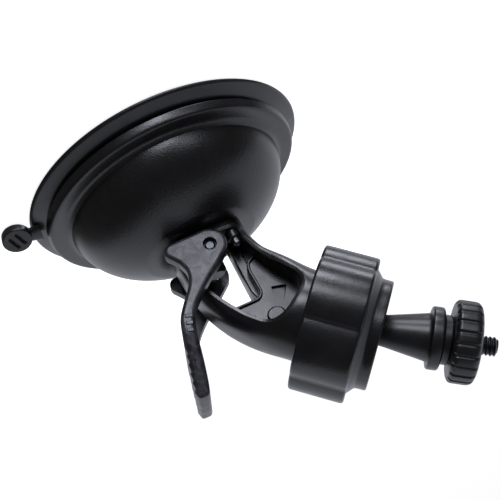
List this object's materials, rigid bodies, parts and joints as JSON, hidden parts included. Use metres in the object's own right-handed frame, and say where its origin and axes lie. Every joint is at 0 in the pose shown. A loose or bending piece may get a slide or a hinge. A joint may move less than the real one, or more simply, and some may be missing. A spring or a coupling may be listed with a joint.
{
  "type": "windscreen suction mount",
  "caption": "Lever-lock suction cup with a domed housing, a curved open-sided arm, a lobed ball-joint nut and a threaded camera stud with a knurled thumbwheel.",
  "frame": {"origin": "centre of the suction face, in the plane that rests on the glass", "axes": "+Z along the cup's axis away from the glass, +X the way the arm leans, +Y completes the right hand"},
  "size_m": [0.127, 0.096, 0.1074],
  "materials": {
    "pad_rubber": "soft moulded rubber, satin",
    "core_plastic": "glass-filled nylon",
    "housing_abs": "moulded ABS, fine grain, glossy",
    "arm_abs": "moulded ABS, glossy",
    "lever_nylon": "moulded nylon, satin",
    "nut_abs": "moulded ABS, fine spark texture",
    "stem_nylon": "moulded nylon, polished",
    "wheel_abs": "moulded ABS, fine grain",
    "seat_acetal": "natural acetal",
    "seat_rubber": "rubber disc",
    "pin_steel": "drawn steel pin",
    "spring_steel": "spring wire",
    "screw_steel": "zinc-plated screw",
    "stud_steel": "black-oxide steel, rolled thread",
    "insert_brass": "turned brass"
  },
  "bodies": {
    "base": {"suction_pad": "pad_rubber", "dome_housing": "housing_abs", "stem_bush": "seat_acetal", "spring_washer": "spring_steel", "plunger_spring": "spring_steel", "support_arm": "arm_abs", "arm_screw_1": "screw_steel", "arm_screw_2": "screw_steel", "arm_screw_3": "screw_steel", "seat_cushion": "seat_rubber", "rear_ball_seat": "seat_acetal"},
    "plunger": {"core_plate": "core_plastic", "lever_pin": "pin_steel"},
    "lever": {"lock_lever": "lever_nylon"},
    "nut": {"ball_nut": "nut_abs"},
    "ball_ring": {"front_ball_ring": "seat_acetal"},
    "stem": {"ball_stem": "stem_nylon", "threaded_stud": "stud_steel"},
    "wheel": {"thumbwheel": "wheel_abs", "wheel_insert": "insert_brass"}
  },
  "joints": [
    {"name": "plunger_lift", "type": "slide", "parent": "base", "child": "plunger", "axis": [0, 0, 1], "range_m": [0, 0.009], "deforming": ["plunger_spring"]},
    {"name": "lever_swing", "type": "hinge", "parent": "plunger", "child": "lever", "pos_m": [0, 0, 0.0365], "axis": [0, -1, 0], "range_deg": [0, 80]},
    {"name": "nut_turn", "type": "hinge", "parent": "base", "child": "nut", "pos_m": [0.0251, 0, 0.0714], "axis": [0.7385, 0, 0.6743], "range_deg": [0, 360]},
    {"name": "ball_swivel", "type": "hinge", "parent": "base", "child": "ball_ring", "pos_m": [0.0251, 0, 0.0714], "axis": [0.7385, 0, 0.6743], "continuous": true},
    {"name": "ball_tilt", "type": "hinge", "parent": "ball_ring", "child": "stem", "pos_m": [0.0251, 0, 0.0714], "axis": [0, 1, 0], "range_deg": [-33, 18]},
    {"name": "wheel_spin", "type": "hinge", "parent": "stem", "child": "wheel", "pos_m": [0.05869, 0, 0.09492], "axis": [0.8192, 0, 0.5736], "continuous": true}
  ],
  "couplings": [
    {"joint": "lever_swing", "follows": "plunger_lift", "rad_per_m": 155.14}
  ]
}
